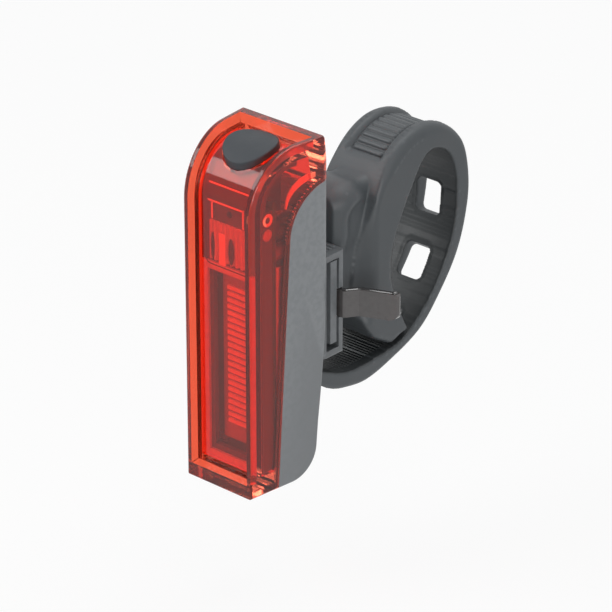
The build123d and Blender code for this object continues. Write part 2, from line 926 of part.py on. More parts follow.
with BuildPart() as mount_bracket:
    with BuildSketch(side_plane(-bracket_half_width)) as side:
        with Locations(((bracket_front + bracket_back) / 2, (bracket_low + bracket_high) / 2)):
            Rectangle(bracket_back - bracket_front, bracket_high - bracket_low)
        fillet(side.vertices().group_by(Axis.Y)[0].sort_by(Axis.X)[0], bracket_toe)
    extrude(amount=2 * bracket_half_width)
    fillet(mount_bracket.edges().filter_by(Axis.Z), bracket_round)
    with BuildSketch(side_plane(-thumb_rib_half_width)):
        for number in range(thumb_rib_count):
            with Locations((thumb_rib_first + number * thumb_rib_pitch, bracket_high)):
                Circle(thumb_rib_radius)
    extrude(amount=2 * thumb_rib_half_width)
    # Channel for the rail
    channel_half = flange_half_width + rail_gap
    lip_half = stem_half_width + rail_gap
    channel_up = (rail_low, bracket_high + overrun)
    channel_front = flange_front - rail_gap
    block((-channel_half, channel_half), (channel_front, channel_back), channel_up, mode=Mode.SUBTRACT)
    lip_back = (bracket_front - overrun, channel_back)
    block((-lip_half, lip_half), lip_back, channel_up, mode=Mode.SUBTRACT)
    # Side window of the latch arm and slot of the lever
    side_end = bracket_half_width + overrun
    arm_window_up = (arm_window_low, arm_window_high)
    block((window_inner, side_end), (window_front, window_back), arm_window_up, mode=Mode.SUBTRACT)
    slot_up = (lever_low - lever_slot_gap, lever_high + lever_slot_gap)
    slot_back = (lever_slot_front, bracket_back + overrun)
    block((lever_slot_inner, side_end), slot_back, slot_up, mode=Mode.SUBTRACT)
    # Hook for the strap's tail
    hook_across = (-hook_half_width, hook_half_width)
    block(hook_across, (hook_front, hook_back), (hook_low, bracket_low))
    block(hook_across, (barb_front, hook_back), (hook_low, hook_low + barb_height))
    add(bracket_screws.part, mode=Mode.SUBTRACT)
    add(lever_pin.part, mode=Mode.SUBTRACT)

with BuildPart() as latch_arm:
    arm_across = (arm_inner, arm_outer)
    block(arm_across, (arm_front, arm_back), (arm_low, arm_high))
    root_up = (arm_high - arm_root_height, arm_high)
    block((arm_root_inner, arm_inner), (arm_front, arm_back), root_up)
    nose_up = (nose_low, nose_low + nose_height)
    block((nose_inner, arm_inner), (nose_front, arm_back), nose_up)

lever_reach = lever_tip_across + lever_thick / 2
with BuildPart() as release_lever:
    with BuildSketch(level(lever_low)) as plan:
        with BuildLine() as blade:
            FilletPolyline(
                (pin_across, pin_depth),
                (lever_neck_across, lever_neck_depth),
                (lever_knee_across, lever_knee_depth),
                (lever_tip_across, lever_tip_depth),
                radius=lever_bend,
            )
        trace(blade.line, line_width=lever_thick)
        with Locations((pin_across, pin_depth)):
            Circle(hub_radius)
        with Locations((lever_tip_across, lever_tip_depth)):
            Circle(lever_thick / 2)
        with BuildLine() as tail:
            Line((pin_across, pin_depth), (tail_across, tail_depth))
        trace(tail.line, line_width=tail_thick)
        with Locations((tail_across, tail_depth)):
            Circle(tail_thick / 2)
        with Locations((pin_across, pin_depth)):
            Circle(pin_radius + pin_clearance, mode=Mode.SUBTRACT)
    extrude(amount=lever_high - lever_low)
    with BuildSketch(front_plane(pin_depth)) as outline:
        with Locations((0, (lever_low + lever_high) / 2)):
            Rectangle(2 * lever_reach, lever_high - lever_low)
        fillet(outline.vertices().group_by(Axis.X)[-1].sort_by(Axis.Y)[0], lever_low_corner)
        fillet(outline.vertices().group_by(Axis.X)[-1].sort_by(Axis.Y)[-1], lever_high_corner)
    extrude(outline.sketch, amount=lever_reach, both=True, mode=Mode.INTERSECT)

# Strap and what is moulded into it
with BuildPart() as strap_retainer:
    retainer_up = (retainer_low, retainer_high)
    panel(retainer_half_width, (retainer_front, retainer_back), retainer_up, retainer_corner)
    add(bracket_screws.part, mode=Mode.SUBTRACT)

band_outer = strap_points(band_outer_shares)
band_inner = strap_points(band_inner_shares)
crown_outer_slope, crown_inner_slope = strap_slopes(crown_slope_shares)
tail_outer_slope, tail_inner_slope = strap_slopes(tail_slope_shares)

with BuildPart() as rubber_strap:
    outer_slopes = (tail_outer_slope, crown_outer_slope)
    inner_slopes = (crown_inner_slope, tail_inner_slope)
    add(strap_solid(band_outer, band_inner, outer_slopes, inner_slopes))
    # Slots along the band
    for place, angle in zip(strap_points(slot_shares), slot_angles):
        slope = math.radians(angle)
        outward = (0, math.cos(slope), math.sin(slope))
        with BuildSketch(Plane(origin=(0, *place), x_dir=(1, 0, 0), z_dir=outward)) as slot:
            Rectangle(slot_width, slot_length)
            fillet(slot.vertices(), slot_corner)
        extrude(amount=2 * overrun, both=True, mode=Mode.SUBTRACT)
    hook_half = hook_half_width + hook_slot_gap
    hook_slot_back = (hook_front - hook_slot_gap, hook_back + hook_slot_gap)
    block((-hook_half, hook_half), hook_slot_back, (0, bracket_low), mode=Mode.SUBTRACT)
    add(saddle_form())
    add(strap_channel(strap_points(band_outer_shares + pad_outer_shares[1:2])), mode=Mode.SUBTRACT)
    crown = strap_points(band_outer_shares[-crown_place_count:] + pad_outer_shares[1:2])
    add(grip_grooves(crown), mode=Mode.SUBTRACT)
    add(strap_retainer.part, mode=Mode.SUBTRACT)
    add(bracket_screws.part, mode=Mode.SUBTRACT)

pieces = {
    "front_lens": front_lens,
    "rear_housing": rear_housing,
    "housing_gasket": housing_gasket,
    "power_button": power_button,
    "switch_plunger": switch_plunger,
    "switch_body": switch_body,
    "switch_board": switch_board,
    "switch_carrier": switch_carrier,
    "main_board": main_board,
    "board_screws": board_screws,
    "board_components": board_components,
    "led_board": led_board,
    "cob_emitters": cob_emitters,
    "window_leds": window_leds,
    "indicator_led": indicator_led,
    "inner_bezel": inner_bezel,
    "light_guide": light_guide,
    "window_prism": window_prism,
    "battery_cell": battery_cell,
    "battery_foam": battery_foam,
    "red_lead": leads["red_lead"],
    "black_lead": leads["black_lead"],
    "charge_board": charge_board,
    "charging_socket": charging_socket,
    "port_cover": port_cover,
    "mount_bracket": mount_bracket,
    "bracket_screws": bracket_screws,
    "lever_pin": lever_pin,
    "latch_arm": latch_arm,
    "release_lever": release_lever,
    "strap_retainer": strap_retainer,
    "rubber_strap": rubber_strap,
}
for piece_name, piece in pieces.items():
    piece.part.label = piece_name
    export_step(piece.part, f"parts/{piece_name}.step")
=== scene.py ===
import json
import math

import bpy
import numpy as np
from mathutils import Matrix, Vector


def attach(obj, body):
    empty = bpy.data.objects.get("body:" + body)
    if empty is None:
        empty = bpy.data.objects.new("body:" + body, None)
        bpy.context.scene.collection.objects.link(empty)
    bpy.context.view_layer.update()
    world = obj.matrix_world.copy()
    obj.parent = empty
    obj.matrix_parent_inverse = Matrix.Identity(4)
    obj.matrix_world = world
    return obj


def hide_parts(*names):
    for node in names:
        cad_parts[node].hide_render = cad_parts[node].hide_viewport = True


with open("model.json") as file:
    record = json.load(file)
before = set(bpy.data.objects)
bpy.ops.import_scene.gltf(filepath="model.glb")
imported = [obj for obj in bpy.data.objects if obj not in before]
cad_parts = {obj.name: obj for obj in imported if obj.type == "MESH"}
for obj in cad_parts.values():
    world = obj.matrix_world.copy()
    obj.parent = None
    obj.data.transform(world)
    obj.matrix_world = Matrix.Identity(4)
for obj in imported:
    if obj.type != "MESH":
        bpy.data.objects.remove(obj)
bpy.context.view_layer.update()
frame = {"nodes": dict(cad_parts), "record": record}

nodes = frame["nodes"]
MM = 0.001


# Nodes and effects that the materials share

def add_node(tree, kind, **settings):
    node = tree.nodes.new(kind)
    for key, value in settings.items():
        setattr(node, key, value)
    return node


def feed(tree, target, source):
    """Puts a socket's output, or a plain value, into an input."""
    if isinstance(source, bpy.types.NodeSocket):
        tree.links.new(source, target)
    else:
        target.default_value = source


def maths(tree, operation, first, second=0.0, third=0.0):
    node = add_node(tree, "ShaderNodeMath", operation=operation)
    for socket, source in zip(node.inputs, (first, second, third)):
        feed(tree, socket, source)
    return node.outputs[0]


def spread(tree, value, low, high, to_low, to_high):
    """Maps one range of a value smoothly to another."""
    node = add_node(tree, "ShaderNodeMapRange", interpolation_type="SMOOTHSTEP")
    for socket, source in zip(node.inputs, (value, low, high, to_low, to_high)):
        feed(tree, socket, source)
    return node.outputs[0]


def noise(tree, place, scale, detail=3.0, rough=0.55):
    node = add_node(tree, "ShaderNodeTexNoise")
    feed(tree, node.inputs["Vector"], place)
    feed(tree, node.inputs["Scale"], scale)
    node.inputs["Detail"].default_value = detail
    node.inputs["Roughness"].default_value = rough
    return node.outputs["Fac"]


def place_on_piece(tree):
    return add_node(tree, "ShaderNodeTexCoord").outputs["Object"]


def start_group(name, inputs, outputs):
    """A shader node group with named number sockets, with what goes in and what comes out."""
    group = bpy.data.node_groups.new(name, "ShaderNodeTree")
    for label, start in inputs:
        socket = group.interface.new_socket(name=label, in_out="INPUT", socket_type="NodeSocketFloat")
        socket.default_value = start
    for label in outputs:
        group.interface.new_socket(name=label, in_out="OUTPUT", socket_type="NodeSocketFloat")
    given = add_node(group, "NodeGroupInput").outputs
    result = add_node(group, "NodeGroupOutput").inputs
    return group, given, result


def build_grain_group():
    """Moulded plastic or rubber: fine grain and slow mottle. Both counts are per metre."""
    group, given, result = start_group(
        "moulded_grain", (("Grain count", 2600.0), ("Mottle count", 90.0)), ("Grain", "Mottle"))
    place = place_on_piece(group)
    feed(group, result["Grain"], noise(group, place, given["Grain count"], 2.0))
    feed(group, result["Mottle"], noise(group, place, given["Mottle count"], 4.0))
    return group


def build_wear_group():
    """Edges that handling has polished: a mask from how sharp the surface is."""
    patch_count = 700.0
    least_worn = 0.45
    group, given, result = start_group("handled_edges", (("Low", 0.51), ("High", 0.58)), ("Worn",))
    sharp = add_node(group, "ShaderNodeNewGeometry").outputs["Pointiness"]
    edge = spread(group, sharp, given["Low"], given["High"], 0.0, 1.0)
    patches = noise(group, place_on_piece(group), patch_count)
    patchy = spread(group, patches, 0.3, 0.65, least_worn, 1.0)
    feed(group, result["Worn"], maths(group, "MULTIPLY", edge, patchy))
    return group


def build_drawn_group():
    """Drawn or turned metal: long fine lines with soft blotches. The count is per metre."""
    drawn_out = (0.04, 1.0, 1.0)
    blotch_count = 240.0
    group, given, result = start_group("drawn_lines", (("Line count", 5200.0),), ("Lines", "Blotch"))
    place = place_on_piece(group)
    stretch = add_node(group, "ShaderNodeMapping")
    feed(group, stretch.inputs["Vector"], place)
    stretch.inputs["Scale"].default_value = drawn_out
    feed(group, result["Lines"], noise(group, stretch.outputs[0], given["Line count"], 2.0))
    feed(group, result["Blotch"], noise(group, place, blotch_count))
    return group


grain_group = build_grain_group()
wear_group = build_wear_group()
drawn_group = build_drawn_group()


# Steps that the materials are put together from

noise_low = 0.3
noise_high = 0.7


def start_material(name):
    """A material with one Principled shader; returns it with its tree and shader."""
    material = bpy.data.materials.new(name)
    material.use_nodes = True
    tree = material.node_tree
    tree.nodes.clear()
    shader = add_node(tree, "ShaderNodeBsdfPrincipled")
    show(tree, shader.outputs[0], "ShaderNodeOutputMaterial")
    return material, tree, shader


def show(tree, surface, kind):
    """Puts a shader on the tree's output, which is made if it isn't there."""
    output = next((node for node in tree.nodes if node.bl_idname == kind), None)
    output = output or add_node(tree, kind)
    tree.links.new(surface, output.inputs["Surface"])


def mix_shaders(tree, factor, first, second):
    node = add_node(tree, "ShaderNodeMixShader")
    feed(tree, node.inputs[0], factor)
    tree.links.new(first, node.inputs[1])
    tree.links.new(second, node.inputs[2])
    return node.outputs[0]


def place_group(tree, group, **values):
    node = add_node(tree, "ShaderNodeGroup", node_tree=group)
    for label, value in values.items():
        node.inputs[label.replace("_", " ")].default_value = value
    return node.outputs


def blend_colours(tree, factor, first, second):
    """Mixes two colours, each of which is a tone or a socket."""
    node = add_node(tree, "ShaderNodeMix", data_type="RGBA")
    feed(tree, node.inputs["Factor"], factor)
    for label, colour in (("A", first), ("B", second)):
        linked = isinstance(colour, bpy.types.NodeSocket)
        feed(tree, node.inputs[label], colour if linked else (*colour, 1.0))
    return node.outputs["Result"]


def blend_roughness(tree, shader, mask, rough):
    feed(tree, shader.inputs["Roughness"], spread(tree, mask, noise_low, noise_high, *rough))


def raise_surface(tree, height, strength, depth, normal=None):
    """A bump of a depth in millimetres, on top of another where one is given."""
    node = add_node(tree, "ShaderNodeBump")
    node.inputs["Strength"].default_value = strength
    node.inputs["Distance"].default_value = depth * MM
    feed(tree, node.inputs["Height"], height)
    if normal is not None:
        feed(tree, node.inputs["Normal"], normal)
    return node.outputs["Normal"]


def start_moulded(name, dark, light, rough, grain=2600.0, bump=0.25, specular=0.5, coat=0.0, depth=0.03):
    """Moulded plastic or rubber between two close tones, with paler handled edges."""
    edge_share = 0.35
    edge_lift = 1.8
    material, tree, shader = start_material(name)
    surface = place_group(tree, grain_group, Grain_count=grain)
    worn = maths(tree, "MULTIPLY", place_group(tree, wear_group)["Worn"], edge_share)
    tone = blend_colours(tree, surface["Mottle"], dark, light)
    paler = [min(1.0, edge_lift * value) for value in light]
    feed(tree, shader.inputs["Base Color"], blend_colours(tree, worn, tone, paler))
    blend_roughness(tree, shader, surface["Mottle"], rough)
    feed(tree, shader.inputs["Normal"], raise_surface(tree, surface["Grain"], bump, depth))
    shader.inputs["Specular IOR Level"].default_value = specular
    shader.inputs["Coat Weight"].default_value = coat
    return material, tree, shader


def moulded(name, dark, light, rough, **finer):
    return start_moulded(name, dark, light, rough, **finer)[0]


def metal(name, tone, rough, lines=5200.0):
    material, tree, shader = start_material(name)
    surface = place_group(tree, drawn_group, Line_count=lines)
    darker = [0.75 * value for value in tone]
    feed(tree, shader.inputs["Base Color"], blend_colours(tree, surface["Blotch"], darker, tone))
    blend_roughness(tree, shader, surface["Lines"], rough)
    feed(tree, shader.inputs["Normal"], raise_surface(tree, surface["Lines"], 0.3, 0.02))
    shader.inputs["Metallic"].default_value = 1.0
    return material


# Materials with a function of their own

def lens_material():
    """Clear red plastic. Light reaches what is behind it tinted, not black."""
    tone = (0.97, 0.14, 0.07)
    body_tone = (0.66, 0.06, 0.035, 1.0)
    shadow_tint = (0.95, 0.33, 0.22, 1.0)
    few_walls, many_walls = 4.0, 7.0
    least_body, most_body = 0.035, 0.85
    material, tree, shader = start_material("lens_clear_red")
    surface = place_group(tree, grain_group, Grain_count=420.0, Mottle_count=60.0)
    darker = [0.96 * value for value in tone]
    feed(tree, shader.inputs["Base Color"], blend_colours(tree, surface["Mottle"], darker, tone))
    blend_roughness(tree, shader, surface["Mottle"], (0.015, 0.04))
    feed(tree, shader.inputs["Normal"], raise_surface(tree, surface["Mottle"], 0.05, 0.2))
    shader.inputs["Transmission Weight"].default_value = 1.0
    # A lower index than the plastic's own, because a higher one stripes the rims
    shader.inputs["IOR"].default_value = 1.3
    shader.inputs["Coat Weight"].default_value = 0.4
    shader.inputs["Coat Roughness"].default_value = 0.06
    # Light that has gone through many walls takes on the plastic's own colour
    path = add_node(tree, "ShaderNodeLightPath")
    body = add_node(tree, "ShaderNodeBsdfDiffuse")
    body.inputs["Color"].default_value = body_tone
    walls = path.outputs["Transmission Depth"]
    body_share = spread(tree, walls, few_walls, many_walls, least_body, most_body)
    filled = mix_shaders(tree, body_share, shader.outputs[0], body.outputs[0])
    through = add_node(tree, "ShaderNodeBsdfTransparent")
    through.inputs["Color"].default_value = shadow_tint
    shown = mix_shaders(tree, path.outputs["Is Shadow Ray"], filled, through.outputs[0])
    show(tree, shown, "ShaderNodeOutputMaterial")
    return material


def strap_treads(tree, place, normal):
    """Fine cross treads on the upper face of the strap's lowest stretch."""
    half_width, edge = 6.0, 0.3
    top, top_fade = -19.4, 0.6
    front, front_fade = -10.0, 0.5
    level_start, level_full = 0.4, 0.6
    pitch = 1.05
    across = maths(tree, "ABSOLUTE", place["X"])
    masks = (
        spread(tree, across, half_width * MM, (half_width + edge) * MM, 1.0, 0.0),
        spread(tree, place["Z"], (top - top_fade) * MM, top * MM, 1.0, 0.0),
        spread(tree, place["Y"], (front - front_fade) * MM, front * MM, 1.0, 0.0),
        spread(tree, normal["Z"], level_start, level_full, 0.0, 1.0),
    )
    treads = maths(tree, "SINE", maths(tree, "MULTIPLY", place["Y"], 2.0 * math.pi / (pitch * MM)))
    for mask in masks:
        treads = maths(tree, "MULTIPLY", treads, mask)
    return treads


def painted_shade_faces(tree, place, normal):
    """A mask for the faces that look to the middle of the strap's loop, where shade is painted."""
    fully_in, fade_end = -0.75, -0.3
    arm = add_node(tree, "ShaderNodeCombineXYZ")
    feed(tree, arm.inputs["Y"], place["Y"])
    feed(tree, arm.inputs["Z"], place["Z"])
    outward = add_node(tree, "ShaderNodeVectorMath", operation="NORMALIZE")
    feed(tree, outward.inputs[0], arm.outputs[0])
    looking_out = add_node(tree, "ShaderNodeVectorMath", operation="DOT_PRODUCT")
    feed(tree, looking_out.inputs[0], outward.outputs["Vector"])
    feed(tree, looking_out.inputs[1], normal)
    return spread(tree, looking_out.outputs["Value"], fully_in, fade_end, 1.0, 0.0)


def strap_material():
    """Matt dark rubber with a fine skin and treads. The faces inside the loop carry painted shade: they are
    darkened towards a near-black tone.
    """
    # Near-black tone of the painted shade on the faces inside the loop
    painted_shade_tone = (0.030, 0.034, 0.036)
    material, tree, shader = start_moulded(
        "strap_matt_rubber", (0.058, 0.065, 0.070), (0.070, 0.078, 0.084), (0.44, 0.54),
        grain=2400.0, bump=0.35, specular=0.45)
    place = add_node(tree, "ShaderNodeSeparateXYZ")
    feed(tree, place.inputs[0], place_on_piece(tree))
    normal = add_node(tree, "ShaderNodeNewGeometry").outputs["Normal"]
    facing = add_node(tree, "ShaderNodeSeparateXYZ")
    feed(tree, facing.inputs[0], normal)
    tone = shader.inputs["Base Color"].links[0].from_socket
    # Painted shade: faces that look into the loop are blended towards the near-black tone
    painted_shade_share = painted_shade_faces(tree, place.outputs, normal)
    feed(tree, shader.inputs["Base Color"], blend_colours(tree, painted_shade_share, tone, painted_shade_tone))
    skin = shader.inputs["Normal"].links[0].from_socket
    treads = strap_treads(tree, place.outputs, facing.outputs)
    feed(tree, shader.inputs["Normal"], raise_surface(tree, treads, 0.8, 0.22, skin))
    return material


# Finishes of the pieces

moulded_finishes = {
    "housing_grey": dict(
        name="housing_satin_grey", dark=(0.176, 0.186, 0.194), light=(0.182, 0.192, 0.200),
        rough=(0.40, 0.42), grain=3400.0, bump=0.22),
    "button_rubber": dict(
        name="button_soft_rubber", dark=(0.020, 0.025, 0.030), light=(0.034, 0.040, 0.047),
        rough=(0.5, 0.68), grain=1500.0, bump=0.9),
    "seal_rubber": dict(
        name="seal_ring_rubber", dark=(0.035, 0.035, 0.038), light=(0.05, 0.05, 0.052), rough=(0.5, 0.65)),
    "bezel_dark": dict(
        name="bezel_dark_plastic", dark=(0.050, 0.045, 0.045), light=(0.070, 0.062, 0.062),
        rough=(0.3, 0.42), grain=2200.0, bump=0.15),
    "guide_clear": dict(
        name="light_frame_milky", dark=(0.42, 0.40, 0.38), light=(0.50, 0.48, 0.46),
        rough=(0.18, 0.3), grain=1500.0, bump=0.1),
    "board_white": dict(
        name="led_strip_board_white", dark=(0.20, 0.19, 0.18), light=(0.26, 0.25, 0.23), rough=(0.35, 0.5)),
    "board_green": dict(
        name="circuit_board_mask_green", dark=(0.02, 0.10, 0.045), light=(0.03, 0.14, 0.06),
        rough=(0.25, 0.4)),
    "emitter_yellow": dict(
        name="led_rung_phosphor", dark=(0.62, 0.50, 0.24), light=(0.74, 0.62, 0.32),
        rough=(0.3, 0.45), grain=1800.0, bump=0.1),
    "led_clear": dict(
        name="led_dome_epoxy", dark=(0.5, 0.42, 0.36), light=(0.62, 0.52, 0.44),
        rough=(0.08, 0.14), grain=900.0, bump=0.04),
    "chip_black": dict(
        name="chip_epoxy_black", dark=(0.02, 0.02, 0.022), light=(0.03, 0.03, 0.032), rough=(0.4, 0.55)),
    "switch_black": dict(
        name="switch_case_black", dark=(0.025, 0.025, 0.027), light=(0.035, 0.035, 0.037), rough=(0.35, 0.5)),
    "carrier_black": dict(
        name="carrier_plastic_black", dark=(0.03, 0.03, 0.032), light=(0.042, 0.042, 0.044),
        rough=(0.4, 0.55)),
    "foam_black": dict(
        name="foam_pad_black", dark=(0.018, 0.018, 0.02), light=(0.03, 0.03, 0.032),
        rough=(0.85, 0.95), grain=1400.0, bump=0.8, specular=0.3, depth=0.12),
    "lead_red": dict(
        name="wire_sheath_red", dark=(0.55, 0.02, 0.015), light=(0.65, 0.03, 0.02), rough=(0.3, 0.42)),
    "lead_black": dict(
        name="wire_sheath_black", dark=(0.02, 0.02, 0.02), light=(0.03, 0.03, 0.03), rough=(0.3, 0.42)),
    "bracket_grey": dict(
        name="bracket_satin_grey", dark=(0.105, 0.112, 0.118), light=(0.13, 0.138, 0.145),
        rough=(0.34, 0.46), grain=3000.0, bump=0.2),
    "lever_brown": dict(
        name="lever_glossy_brown_grey", dark=(0.055, 0.050, 0.049), light=(0.062, 0.057, 0.056),
        rough=(0.16, 0.2), grain=2000.0, bump=0.03, specular=0.6, coat=0.3),
    "lever_edge": dict(
        name="lever_rolled_edge_gloss", dark=(0.030, 0.028, 0.028), light=(0.036, 0.033, 0.033),
        rough=(0.08, 0.12), grain=2000.0, bump=0.02, specular=0.8, coat=0.8),
    "retainer_black": dict(
        name="retainer_plate_black", dark=(0.03, 0.03, 0.03), light=(0.04, 0.04, 0.04), rough=(0.45, 0.6)),
    "rib_bright": dict(
        name="lens_rib_bright", dark=(0.80, 0.80, 0.78), light=(0.9, 0.9, 0.88),
        rough=(0.18, 0.3), grain=1500.0, bump=0.1),
    "lens_dull": dict(
        name="boss_dull_plastic", dark=(0.42, 0.34, 0.30), light=(0.5, 0.42, 0.38), rough=(0.3, 0.42)),
}
finish = {slot: moulded(**values) for slot, values in moulded_finishes.items()}
finish["steel"] = metal("screw_steel", (0.62, 0.62, 0.63), (0.22, 0.36))
finish["socket_metal"] = metal("socket_shell_metal", (0.66, 0.65, 0.63), (0.18, 0.3))
finish["cell_foil"] = metal("battery_pouch_foil", (0.72, 0.73, 0.74), (0.3, 0.48), 1600.0)
finish["lens_red"] = lens_material()
finish["strap_rubber"] = strap_material()

for entry in frame["record"]["subparts"]:
    mesh = nodes[entry["node"]].data
    mesh.materials.clear()
    mesh.materials.append(finish[entry["material_slot"]])


# Meshes

def mesh_object(name, points, faces, material, smooth=True):
    mesh = bpy.data.meshes.new(name)
    mesh.from_pydata([tuple(point) for point in points], [], [tuple(face) for face in faces])
    mesh.materials.append(material)
    if smooth:
        mesh.shade_smooth()
    thing = bpy.data.objects.new(name, mesh)
    bpy.context.scene.collection.objects.link(thing)
    return thing


# Forms given by their distance, for soft moulded rubber

def round_both(first, second, radius):
    """Where two forms overlap, with a rounded edge between their faces."""
    a, b = first + radius, second + radius
    return np.hypot(np.maximum(a, 0), np.maximum(b, 0)) + np.minimum(np.maximum(a, b), 0) - radius


def join(first, second, radius):
    """Two forms together, with a soft hollow between them."""
    share = np.clip(0.5 + 0.5 * (second - first) / radius, 0.0, 1.0)
    return second * (1 - share) + first * share - radius * share * (1 - share)


def cut(form, tool, radius):
    """A form with another cut away, its new edges slightly rounded."""
    return round_both(form, -tool, radius)


def rounded_box(x, y, z, middle, half, radius):
    gaps = [np.abs(v - m) - h + radius for v, m, h in zip((x, y, z), middle, half)]
    out = np.sqrt(sum(np.maximum(gap, 0) ** 2 for gap in gaps))
    return out + np.minimum(np.maximum(np.maximum(gaps[0], gaps[1]), gaps[2]), 0) - radius


def smooth_line(places, count=16):
    """Points of a smooth curve through some places."""
    points = np.array(places, float)
    tangents = np.gradient(points, axis=0)
    line = []
    for index in range(len(points) - 1):
        start, end = points[index], points[index + 1]
        chord = np.linalg.norm(end - start)
        lead = tangents[index] / np.linalg.norm(tangents[index]) * chord
        tail = tangents[index + 1] / np.linalg.norm(tangents[index + 1]) * chord
        t = np.linspace(0.0, 1.0, count, endpoint=False)[:, None]
        line.append((2 * t**3 - 3 * t**2 + 1) * start + (t**3 - 2 * t**2 + t) * lead
                    + (3 * t**2 - 2 * t**3) * end + (t**3 - t**2) * tail)
    line.append(points[-1:])
    return np.concatenate(line)


def line_length(line):
    return np.linalg.norm(np.diff(line, axis=0), axis=1).sum()


def line_distance(places, line):
    """Distance from each place to a line, and how far along the line its nearest point is."""
    start, step = line[:-1], np.diff(line, axis=0)
    length = np.linalg.norm(step, axis=1)
    run = np.concatenate(([0.0], np.cumsum(length)))[:-1]
    best = np.full(len(places), 1e9)
    along = np.zeros(len(places))
    for index in range(len(start)):
        offset = places - start[index]
        share = np.clip((offset @ step[index]) / max(length[index] ** 2, 1e-12), 0.0, 1.0)
        gap = np.linalg.norm(offset - share[:, None] * step[index], axis=1)
        closer = gap < best
        best[closer] = gap[closer]
        along[closer] = run[index] + share[closer] * length[index]
    return best, along


def inside_outline(places, outline):
    """Whether each place is inside a closed outline."""
    inside = np.zeros(len(places), bool)
    ring = np.roll(outline, -1, axis=0)
    for (y0, z0), (y1, z1) in zip(outline, ring):
        if z0 == z1:
            continue
        crosses = (places[:, 1] > min(z0, z1)) & (places[:, 1] <= max(z0, z1))
        crosses &= places[:, 0] < y0 + (places[:, 1] - z0) * (y1 - y0) / (z1 - z0)
        inside ^= crosses
    return inside


def net_points(field, inside, origin, step):
    """One point in each grid cell that the surface crosses, and the number of each cell's point."""
    shape = np.array(field.shape) - 1
    total = np.zeros((*shape, 3))
    count = np.zeros(shape)
    corners = [(i, j, k) for i in (0, 1) for j in (0, 1) for k in (0, 1)]

    def at(offset, data):
        i, j, k = offset
        return data[i:i + shape[0], j:j + shape[1], k:k + shape[2]]

    for first in corners:
        for axis in range(3):
            if first[axis]:
                continue
            second = tuple(1 if n == axis else first[n] for n in range(3))
            crosses = at(first, inside) != at(second, inside)
            f0, f1 = at(first, field), at(second, field)
            share = np.where(crosses, f0 / np.where(f0 == f1, 1.0, f0 - f1), 0.0)
            for n in range(3):
                total[..., n] += np.where(crosses, first[n] + (share if n == axis else 0.0), 0.0)
            count += crosses
    live = count > 0
    number = np.full(tuple(shape), -1)
    number[live] = np.arange(live.sum())
    points = origin + step * (np.argwhere(live) + total[live] / count[live][:, None])
    return points, number


def net_quads(inside, number):
    """A quad round each grid edge that the surface crosses."""
    quads = []
    for axis in range(3):
        a, b = [n for n in range(3) if n != axis]
        here = [slice(1, -1)] * 3
        here[axis] = slice(0, -1)
        there = list(here)
        there[axis] = slice(1, None)
        crosses = inside[tuple(here)] != inside[tuple(there)]
        places = np.argwhere(crosses) + [0 if n == axis else 1 for n in range(3)]
        outwards = inside[tuple(here)][crosses]
        ring = []
        for da, db in ((-1, -1), (0, -1), (0, 0), (-1, 0)):
            cell = places.copy()
            cell[:, a] += da
            cell[:, b] += db
            ring.append(number[cell[:, 0], cell[:, 1], cell[:, 2]])
        quad = np.stack(ring, axis=1)
        flip = outwards if axis == 1 else ~outwards
        quad[flip] = quad[flip][:, ::-1]
        quads.append(quad)
    return np.concatenate(quads)


def sample(field, places, origin, step):
    """A field's value at any place, between its grid points."""
    spot = (places - origin) / step
    base = np.clip(np.floor(spot).astype(int), 0, np.array(field.shape) - 2)
    share = spot - base
    value = 0.0
    for i in (0, 1):
        for j in (0, 1):
            for k in (0, 1):
                weight = ((share[:, 0] if i else 1 - share[:, 0]) * (share[:, 1] if j else 1 - share[:, 1])
                          * (share[:, 2] if k else 1 - share[:, 2]))
                value = value + weight * field[base[:, 0] + i, base[:, 1] + j, base[:, 2] + k]
    return value


def settle_on_surface(points, field, slopes, origin, step, passes=3):
    """Moves points onto the surface, by short steps down the field's slope."""
    longest = 0.1
    flattest = 0.05
    for _ in range(passes):
        value = sample(field, points, origin, step)
        slope = np.stack([sample(part, points, origin, step) for part in slopes], axis=1)
        size = np.maximum((slope ** 2).sum(axis=1), flattest)
        points = points - np.clip(value / size, -longest, longest)[:, None] * slope
    return points


def unit(vectors):
    return vectors / np.maximum(np.linalg.norm(vectors, axis=1), 1e-6)[:, None]


def soften_normals(normals, quads, passes=3):
    """Averages each point's normal with those of the points next to it."""
    for _ in range(passes):
        total = normals.copy()
        for corner in range(4):
            for turn in (1, 3):
                np.add.at(total, quads[:, corner], normals[quads[:, (corner + turn) % 4]])
        normals = unit(total)
    return normals


# Rubber strap, in millimetres. Its outlines are in shares of its reach along Y and its rise along Z.

reach = 17.6
rise = 30.8
half_width = 9.0
front_face = -30.2
band_outer = (
    (-2.22, -0.760), (-1.90, -0.880), (-1.62, -0.932), (-1.17, -0.962), (-0.65, -0.896), (-0.05, -0.762),
    (0.32, -0.573), (0.77, -0.221), (0.98, 0.175), (0.985, 0.48), (0.84, 0.74), (0.46, 0.935),
    (-0.06, 1.0), (-0.54, 0.90),
)
pad_outer = (
    (-0.86, 0.70), (-1.06, 0.43), (-1.215, 0.136), (-1.29, -0.15), (-1.27, -0.38),
    (-1.02, -0.62), (-0.66, -0.752),
)
pad_inner = (
    (-0.30, -0.685), (-0.50, -0.44), (-0.66, -0.146), (-0.64, 0.05), (-0.50, 0.27), (-0.25, 0.52),
)
band_inner = (
    (0.03, 0.735), (0.30, 0.75), (0.56, 0.64), (0.70, 0.40), (0.68, 0.10), (0.56, -0.14),
    (0.25, -0.44), (-0.18, -0.672), (-0.50, -0.768), (-0.96, -0.796), (-1.30, -0.806),
    (-1.66, -0.775), (-2.20, -0.640),
)
# How round the long edges are: places as shares of the way round, then the radius at each
outer_edge = ((0.0, 0.42, 0.52, 0.60, 0.68, 0.75, 1.0), (0.9, 0.9, 1.6, 3.2, 3.2, 2.4, 1.8))
inner_edge = ((0.0, 0.2, 0.32, 0.45, 1.0), (0.35, 0.35, 0.6, 0.9, 0.9))

